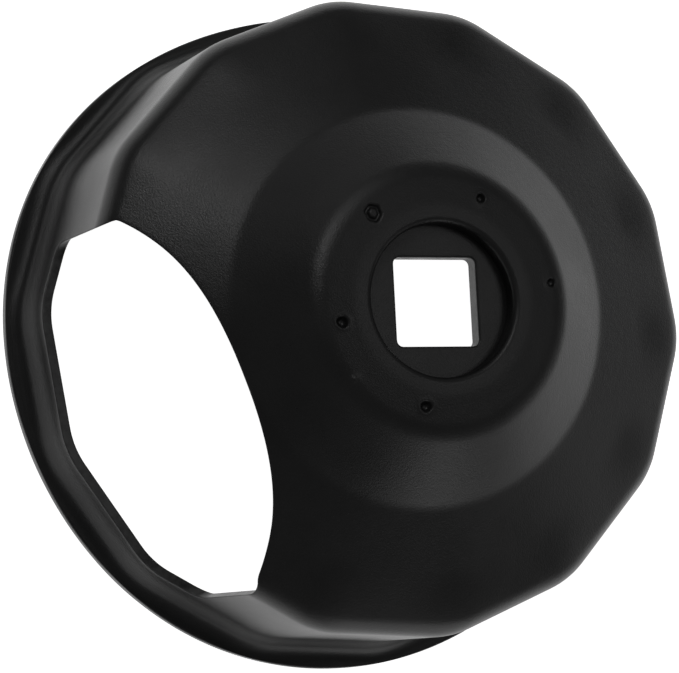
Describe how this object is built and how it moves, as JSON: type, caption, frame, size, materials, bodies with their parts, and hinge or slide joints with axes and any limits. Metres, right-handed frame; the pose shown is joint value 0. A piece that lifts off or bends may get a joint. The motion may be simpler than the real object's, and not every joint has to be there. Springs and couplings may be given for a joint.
{
  "type": "oil filter wrench",
  "caption": "Cap-style oil filter wrench: a fluted pressed-steel cup with a round rim, a side window and a square drive hole in a raised boss.",
  "frame": {"origin": "centre of the open mouth, in the plane of the rim that the cup stands on", "axes": "+Z along the cup's axis, from the mouth towards the drive end; the side window faces -Y; +X to the right when looking at the window"},
  "size_m": [0.0766, 0.0766, 0.0355],
  "materials": {
    "black_coat": "satin black powder coat with a fine grain"
  },
  "bodies": {
    "root": {"filter_cup": "black_coat", "drive_plate": "black_coat", "weld_nugget_1": "black_coat", "weld_nugget_2": "black_coat", "weld_nugget_3": "black_coat", "weld_nugget_4": "black_coat", "weld_nugget_5": "black_coat"}
  },
  "joints": []
}
